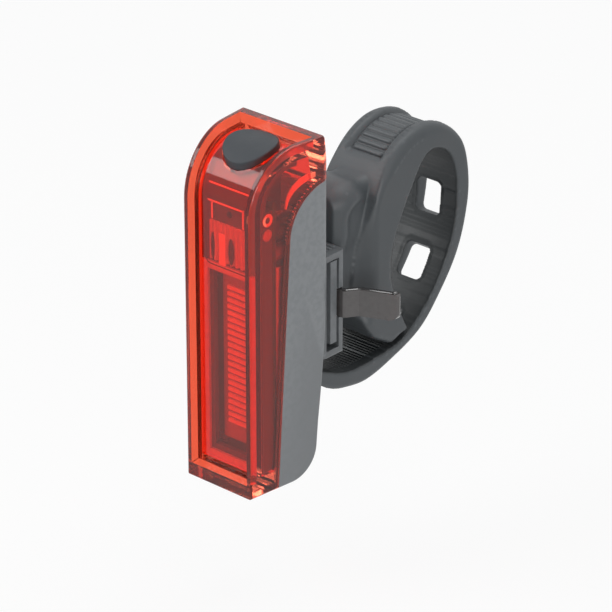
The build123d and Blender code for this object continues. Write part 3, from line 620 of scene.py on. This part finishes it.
# Channel over the crown, from the tail to a share of the outline's length
rim = 3.6
channel_depth = 1.0
channel_end = 0.697
channel_corner = 0.5
channel_run_out = 1.0
channel_edge = 1.1

# Each slot's place, and the angle of the band there
slots = (((0.87, 0.16), -15.0), ((0.50, -0.365), -40.0), ((-0.22, -0.735), -68.0))
slot_half_width = 3.75
slot_half_length = 4.3
slot_corner = 1.4
slot_half_depth = 4.5
slot_edge = 0.3
slot_lip = 0.55
slot_groove_end = 1.15
slot_groove_depth = 0.35
slot_groove_edge = 0.1
hook_slot_middle = (0.0, -33.8, -20.0)
hook_slot_half = (3.3, 2.2, 8.0)
hook_slot_corner = 0.4
hook_slot_edge = 0.25

# Neck, whose pairs are at its front end and where it is widest, the boss and the valleys beside it
neck_back = -12.6
neck_widest = -13.1
neck_half_width = (5.6, 6.0)
neck_low = (-9.0, -11.5)
neck_high = (20.5, 22.0)
neck_corner = 3.0
neck_end_corner = 0.3
neck_blend = 4.5
boss_middle = (0.0, -24.8, 14.4)
boss_half = (8.6, 5.4, 8.4)
boss_corner = 5.0
boss_blend = 3.0
valley_side = 10.0
valley_depth = -22.6
valley_height = 2.0
valley_half_length = 12.0
valley_radius = 3.9
valley_edge = 2.4

# Ribbed field on the crown, with its ends as shares of the outline's length
grip_start = 0.545
grip_end = 0.690
grip_count = 12
grip_half_width = 4.9
grip_border = 0.55
grip_depth = 0.75
grip_rib_share = 0.30
grip_edge = 0.12

# Box and step of the grid on which the strap's surface is found
grid_step = 0.3
grid_low = (-9.6, -40.0, -30.6)
grid_high = (9.6, 18.3, 31.8)


def measure_loop(plan_y, plan_z):
    """Distances to the strap's two outlines over its side view, and how far round they are."""
    outer = smooth_line(np.array(band_outer + pad_outer) * (reach, rise))
    inner = smooth_line(np.array(pad_inner + band_inner) * (reach, rise))
    places = np.stack((plan_y.ravel(), plan_z.ravel()), axis=1)
    sign = np.where(inside_outline(places, np.concatenate((outer, inner))), -1.0, 1.0)
    to_outer, outer_run = line_distance(places, outer)
    to_inner, inner_run = line_distance(places, inner)
    for end in ((outer[-1], inner[0]), (inner[-1], outer[0])):
        to_inner = np.minimum(to_inner, line_distance(places, np.array(end))[0])
    values = {
        "to_outer": to_outer,
        "to_inner": to_inner,
        "outer_side": sign * to_outer,
        "inner_side": sign * to_inner,
        "outer_share": outer_run / line_length(outer),
        "inner_share": inner_run / line_length(inner),
    }
    loop = {name: value.reshape(plan_y.shape)[None] for name, value in values.items()}
    loop["length"] = line_length(outer)
    return loop


def strap_band(x, loop):
    """The closed band with its pad. Its outer edges grow rounder towards the crown."""
    side = np.abs(x) - half_width
    outer_radius = np.interp(loop["outer_share"], *outer_edge)
    inner_radius = np.interp(loop["inner_share"], *inner_edge)
    outer_form = round_both(loop["outer_side"], side, outer_radius)
    return np.maximum(outer_form, round_both(loop["inner_side"], side, inner_radius))


def cut_channel(form, x, loop):
    """A channel along the outer face, between the rims, from the tail over the crown."""
    channel = round_both(loop["to_outer"] - channel_depth, np.abs(x) - (half_width - rim), channel_corner)
    past_end = (loop["outer_share"] - channel_end) * loop["length"]
    return cut(form, round_both(channel, past_end, channel_run_out), channel_edge)


def cut_slots(form, x, y, z, loop):
    """Slots through the band, each with a lip and a fine groove round it on the inner face."""
    straight_across = slot_half_width - slot_corner
    straight_along = slot_half_length - slot_corner
    for (back, up), angle in slots:
        slope = math.radians(angle)
        along = -(y - back * reach) * math.sin(slope) + (z - up * rise) * math.cos(slope)
        outward = (y - back * reach) * math.cos(slope) + (z - up * rise) * math.sin(slope)
        near = np.abs(outward) - slot_half_depth
        past_x, past_along = np.abs(x) - straight_across, np.abs(along) - straight_along
        hole = np.hypot(np.maximum(past_x, 0), np.maximum(past_along, 0)) - slot_corner
        hole = hole + np.minimum(np.maximum(past_x, past_along), 0)
        ring = np.maximum(hole - slot_groove_end, slot_lip - hole)
        groove = np.maximum(np.maximum(loop["to_inner"] - slot_groove_depth, ring), near)
        form = cut(form, groove, slot_groove_edge)
        form = cut(form, np.maximum(hole, near), slot_edge)
    return form


def cut_hook_slot(form, x, y, z):
    """The slot in the tail that the bracket's hook goes through."""
    hook = rounded_box(x, y, z, hook_slot_middle, hook_slot_half, hook_slot_corner)
    return cut(form, hook, hook_slot_edge)


def join_neck(form, x, y, z):
    """The neck that goes to the bracket, with the full-width boss above it."""
    back_share = np.clip((y - front_face) / (neck_widest - front_face), 0.0, 1.0)
    half, low, high = [
        ends[0] + (ends[1] - ends[0]) * back_share for ends in (neck_half_width, neck_low, neck_high)]
    neck = round_both(np.abs(x) - half, np.abs(z - (low + high) / 2) - (high - low) / 2, neck_corner)
    middle, half_run = (front_face + neck_back) / 2, (neck_back - front_face) / 2
    neck = round_both(neck, np.abs(y - middle) - half_run, neck_end_corner)
    boss = rounded_box(x, y, z, boss_middle, boss_half, boss_corner)
    mount = np.maximum(join(neck, boss, boss_blend), front_face - y)
    return np.maximum(join(form, mount, neck_blend), np.abs(x) - half_width)


def cut_valleys(form, x, y, z):
    """A soft valley on each flank between the boss and the strap's edge."""
    valley = np.hypot(np.abs(x) - valley_side, y - valley_depth)
    past_ends = np.maximum(np.abs(z - valley_height) - valley_half_length, 0.0)
    return cut(form, np.hypot(valley, past_ends) - valley_radius, valley_edge)


def cut_grip(form, x, loop):
    """Ribs across the channel's floor on the crown, inside a sunk frame."""
    run = loop["outer_share"] * loop["length"]
    start, end = grip_start * loop["length"], grip_end * loop["length"]
    sunk = np.maximum(np.abs(x) - grip_half_width, np.abs(run - (start + end) / 2) - (end - start) / 2)
    sunk = np.maximum(sunk, loop["to_outer"] - channel_depth - grip_depth)
    pitch = (end - start) / grip_count
    steps = (run - start) / pitch
    from_rib = np.abs(steps - np.floor(steps) - 0.5) * pitch
    form = cut(form, np.maximum(sunk, grip_rib_share * pitch - from_rib), grip_edge)
    return cut(form, np.maximum(sunk, grip_half_width - grip_border - np.abs(x)), grip_edge)


def strap_field(x, y, z, loop):
    """Signed distance to the strap's surface: negative inside the rubber."""
    form = strap_band(x, loop)
    form = cut_channel(form, x, loop)
    form = cut_slots(form, x, y, z, loop)
    form = cut_hook_slot(form, x, y, z)
    form = join_neck(form, x, y, z)
    form = cut_valleys(form, x, y, z)
    return cut_grip(form, x, loop)


def build_strap():
    low = np.array(grid_low)
    counts = np.ceil((np.array(grid_high) - low) / grid_step).astype(int) + 1
    x, y, z = [low[n] + grid_step * np.arange(counts[n]) for n in range(3)]
    loop = measure_loop(*np.meshgrid(y, z, indexing="ij"))
    field = strap_field(x[:, None, None], y[None, :, None], z[None, None, :], loop)
    inside = field < 0
    points, number = net_points(field, inside, low, grid_step)
    quads = net_quads(inside, number)
    slopes = np.gradient(field, grid_step)
    points = settle_on_surface(points, field, slopes, low, grid_step)
    normals = unit(np.stack([sample(part, points, low, grid_step) for part in slopes], axis=1))
    normals = soften_normals(normals, quads)
    strap = mesh_object("moulded_strap", points * MM, quads, finish["strap_rubber"])
    strap.data.normals_split_custom_set_from_vertices([tuple(normal) for normal in normals])
    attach(strap, "mount")
    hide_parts("rubber_strap")


# Raised lines, rings and domes

def ribbon(paths, facing, widths, thick):
    """Strips with a chamfered top along lines of places; widths run along each line."""
    section = ((-1.0, 0.0), (-1.0, 0.55), (-0.6, 1.0), (0.6, 1.0), (1.0, 0.55), (1.0, 0.0))
    sides = len(section)
    points, faces = [], []
    facing = Vector(facing).normalized()
    for path in paths:
        line = [Vector(place) for place in path]
        first = len(points)
        for n, place in enumerate(line):
            ahead = (line[min(n + 1, len(line) - 1)] - line[max(n - 1, 0)]).normalized()
            across = ahead.cross(facing).normalized()
            half = 0.5 * float(np.interp(n, np.linspace(0, len(line) - 1, len(widths)), widths))
            for share, up in section:
                points.append(place + share * half * across + up * thick * facing)
        for n in range(len(line) - 1):
            low, high = first + sides * n, first + sides * (n + 1)
            for k in range(sides):
                after = (k + 1) % sides
                faces.append((low + k, low + after, high + after, high + k))
        faces.append(tuple(first + k for k in reversed(range(sides))))
        faces.append(tuple(first + sides * (len(line) - 1) + k for k in range(sides)))
    return [point * MM for point in points], faces


def turned(middle, axis, upright, profile, count=40, squash=1.0):
    """A form turned about an axis from pairs of radius and height, closed where it ends in a point."""
    point_radius = 0.05
    middle, axis, upright = Vector(middle), Vector(axis).normalized(), Vector(upright).normalized()
    level = axis.cross(upright)
    points = []
    for radius, height in profile:
        for n in range(count):
            angle = 2.0 * math.pi * n / count
            spoke = math.sin(angle) * upright + squash * math.cos(angle) * level
            points.append((middle + radius * spoke + height * axis) * MM)
    faces = []
    for ring in range(len(profile) - 1):
        low, high = ring * count, (ring + 1) * count
        for n in range(count):
            after = (n + 1) % count
            faces.append((low + n, low + after, high + after, high + n))
    if profile[-1][0] < point_radius:
        faces.append(tuple((len(profile) - 1) * count + n for n in range(count)))
    return points, faces


# Details behind the lens, in millimetres. The window's parts lie on the bezel's front face.

window_face = -59.03
frame_half_width = 4.85
frame_left = -6.2
frame_low = 22.9
frame_middle = 25.2
frame_high = 27.3
frame_overlap = 0.2
brow_half_width = 6.4
brow_place = (-58.36, 31.3)
brow_slope = (0, 0.93, -0.36)
corner_rib = (
    (9.55, -50.8, 26.6), (9.6, -50.5, 28.2), (9.65, -49.8, 29.7), (9.7, -48.4, 31.0),
    (9.75, -46.4, 31.9), (9.8, -44.0, 32.4), (9.85, -41.4, 32.6),
)
corner_rib_widths = (0.3, 0.9, 1.5, 1.9, 1.7, 1.2)
flank_face = 8.82
flank_row = -56.5
ring_height = 25.6
ring_radius = 1.2
ring_half_width = 0.46
ring_half_thick = 0.2
ring_lift = 0.19
dome_height = 21.8
dome_profile = ((1.45, 0.0), (1.42, 0.18), (1.2, 0.30), (0.7, 0.34), (0.02, 0.35))
well_profile = ((3.5, 0.0), (3.4, 0.12), (2.9, 0.2), (1.8, 0.24), (0.02, 0.25))
well_face = -58.78
well_height = 15.9
wells = (("left", -4.75, 0.17), ("right", 0.9, 0.24))
light_bar = tuple((-1.9, -58.82, height) for height in (11.8, 14.0, 17.0, 19.8))
seam_line = (
    (-6.9, window_face, 21.0), (-6.9, window_face, 16.0), (-6.9, window_face, 12.2),
    (-6.4, window_face, 11.4), (-5.4, window_face, 11.2), (0.0, window_face, 11.2), (5.8, window_face, 11.2),
)


def lens_detail(name, form, finish_name="rib_bright", smooth=False):
    detail = mesh_object(name, *form, finish[finish_name], smooth)
    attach(detail, "lamp")


def build_window_frame():
    """Three raised lines that frame the top of the window, and one more on the brow above."""
    left = [(-frame_half_width, window_face, z) for z in (frame_low, frame_middle, frame_high)]
    top = [(x, window_face, frame_high) for x in np.linspace(frame_left, frame_half_width, 6)]
    right_top = frame_high + frame_overlap
    right = [(frame_half_width, window_face, z) for z in (right_top, frame_middle, frame_low)]
    brow = [(x, *brow_place) for x in np.linspace(-brow_half_width, brow_half_width, 5)]
    lens_detail("lens_frame_ribs", ribbon([left, top, right], (0, 1, 0), widths=(0.45,), thick=0.22))
    lens_detail("lens_brow_rib", ribbon([brow], brow_slope, widths=(0.4,), thick=0.2))


def build_corner_rib():
    """The bright moulded rib in the lens's upper rear corner."""
    lens_detail("lens_corner_rib", ribbon([corner_rib], (-1, 0, 0), corner_rib_widths, thick=0.5))


def build_bezel_bosses():
    """A ring and a dome, one above the other, on the bezel's flank."""
    ring_profile = [
        (ring_radius + ring_half_width * math.cos(angle), ring_lift + ring_half_thick * math.sin(angle))
        for angle in np.linspace(-math.pi, math.pi, 13)]
    ring = turned((flank_face, flank_row, ring_height), (1, 0, 0), (0, 0, 1), ring_profile)
    dome = turned((flank_face, flank_row, dome_height), (1, 0, 0), (0, 0, 1), dome_profile)
    lens_detail("bezel_boss_ring", ring, smooth=True)
    lens_detail("bezel_boss_dome", dome, "lens_dull", smooth=True)


def build_window_details():
    """Two dark wells with a bright bar between them, and the seam below the window."""
    for side, x, squash in wells:
        well = turned((x, well_face, well_height), (0, -1, 0), (0, 0, 1), well_profile, squash=squash)
        lens_detail("window_well_" + side, well, "switch_black", smooth=True)
    bar = ribbon([light_bar], (0, -1, 0), widths=(2.2, 1.8, 1.9), thick=0.2)
    seam = ribbon([seam_line], (0, 1, 0), widths=(0.3,), thick=0.12)
    lens_detail("window_light_bar", bar)
    lens_detail("window_seam_line", seam, "switch_black")


# Glossy edge of the release lever

lever_top = -0.72
lever_edge_line = (
    (10.3, -31.4), (11.2, -31.0), (12.0, -29.8), (12.8, -28.6), (13.5, -28.1),
    (15.5, -27.2), (18.0, -26.15), (20.2, -25.2), (21.3, -24.7),
)
lever_edge_widths = (0.8, 1.3, 1.45, 1.45, 1.3, 0.8)
lever_edge_thick = 0.26
lever_drop_middle = (21.1, -24.85, -0.55)
lever_drop_profile = ((0.62, -0.1), (0.6, 0.1), (0.45, 0.26), (0.22, 0.35), (0.02, 0.38))


def build_lever_edge():
    """The rolled edge along the lever's top, with a drop at its outer end."""
    line = [(x, y, lever_top) for x, y in lever_edge_line]
    rolled = ribbon([line], (0, 0, 1), lever_edge_widths, lever_edge_thick)
    beaded = turned(lever_drop_middle, (0, 0, 1), (0, 1, 0), lever_drop_profile)
    edge = mesh_object("lever_rolled_edge", *rolled, finish["lever_edge"], smooth=False)
    drop = mesh_object("lever_edge_drop", *beaded, finish["lever_edge"])
    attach(edge, "release_lever")
    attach(drop, "release_lever")


def soften_edges(node, width):
    """Small rounded edges on a moulded piece, so that its outline catches light."""
    bevel = nodes[node].modifiers.new("moulded_edges", "BEVEL")
    bevel.width = width * MM
    bevel.segments = 2
    bevel.limit_method = "ANGLE"
    bevel.angle_limit = math.radians(50.0)
    bevel.harden_normals = True


build_strap()
build_window_frame()
build_corner_rib()
build_bezel_bosses()
build_window_details()
build_lever_edge()
soften_edges("release_lever", 0.35)
soften_edges("mount_bracket", 0.12)


# Studio, in metres

floor_half = 1.6
floor_tile = 0.2
floor_level = -0.075
floor_glow = 0.9
softbox_target = (0.0, -0.03, 0.0)


def rays_that_see_white(tree):
    """A mask for the rays that show the pale surroundings: seen, mirrored or through the lens."""
    path = add_node(tree, "ShaderNodeLightPath").outputs
    seen = maths(tree, "MAXIMUM", path["Is Camera Ray"], path["Is Transmission Ray"])
    return maths(tree, "MAXIMUM", seen, path["Is Glossy Ray"])


def floor_material():
    material, tree, shader = start_moulded(
        "studio_floor_pale", (0.80, 0.80, 0.80), (0.83, 0.83, 0.83), (0.7, 0.8), grain=400.0, bump=0.02)
    white = add_node(tree, "ShaderNodeEmission")
    white.inputs["Strength"].default_value = 1.0
    glow = maths(tree, "MULTIPLY", rays_that_see_white(tree), floor_glow)
    show(tree, mix_shaders(tree, glow, shader.outputs[0], white.outputs[0]), "ShaderNodeOutputMaterial")
    return material


def build_floor():
    count = int(2 * floor_half / floor_tile) + 1
    line = [-floor_half + floor_tile * n for n in range(count)]
    points = [(x, y, floor_level) for y in line for x in line]
    faces = [(j * count + i, j * count + i + 1, (j + 1) * count + i + 1, (j + 1) * count + i)
             for j in range(count - 1) for i in range(count - 1)]
    floor = mesh_object("studio_floor", points, faces, floor_material())


def background(tree, colour, strength):
    node = add_node(tree, "ShaderNodeBackground")
    node.inputs["Color"].default_value = (*colour, 1.0)
    node.inputs["Strength"].default_value = strength
    return node.outputs[0]


def build_world():
    """A dim room that lights the lamp, and white where the room itself is seen."""
    world = bpy.data.worlds.new("studio_world")
    bpy.context.scene.world = world
    world.use_nodes = True
    tree = world.node_tree
    tree.nodes.clear()
    room = background(tree, (0.92, 0.96, 1.0), 0.16)
    white = background(tree, (1.0, 1.0, 1.0), 1.0)
    show(tree, mix_shaders(tree, rays_that_see_white(tree), room, white), "ShaderNodeOutputWorld")


def softbox(name, place, width, height, power):
    data = bpy.data.lights.new(name, "AREA")
    data.shape = "RECTANGLE"
    data.size = width
    data.size_y = height
    data.energy = power
    light = bpy.data.objects.new(name, data)
    light.location = place
    light.rotation_euler = (Vector(softbox_target) - Vector(place)).to_track_quat("-Z", "Y").to_euler()
    bpy.context.scene.collection.objects.link(light)


def build_camera():
    """The photograph's view: a long lens from the front right, above the lamp."""
    place = Vector((0.51397, -0.60743, 0.36968))
    right = Vector((0.7455, 0.6665, 0.0))
    back = Vector((0.5986, -0.6695, 0.4399)).normalized()
    right = (right - right.dot(back) * back).normalized()
    turn = Matrix((right, back.cross(right), back)).transposed()
    data = bpy.data.cameras.new("photo_camera")
    data.sensor_width = 36.0
    data.lens = 211.53
    data.clip_start = 0.01
    camera = bpy.data.objects.new("photo_camera", data)
    camera.matrix_world = Matrix.Translation(place) @ turn.to_4x4()
    bpy.context.scene.collection.objects.link(camera)
    bpy.context.scene.camera = camera


build_floor()
build_world()
softbox("key_softbox", (-0.55, -0.75, 0.75), width=0.7, height=0.7, power=7.0)
softbox("side_softbox", (0.98, -0.68, 0.14), width=0.45, height=0.6, power=6.0)
softbox("top_softbox", (0.05, 0.25, 0.95), width=0.8, height=0.8, power=5.0)
build_camera()
bpy.context.scene.view_settings.view_transform = "Standard"
bpy.context.view_layer.update()
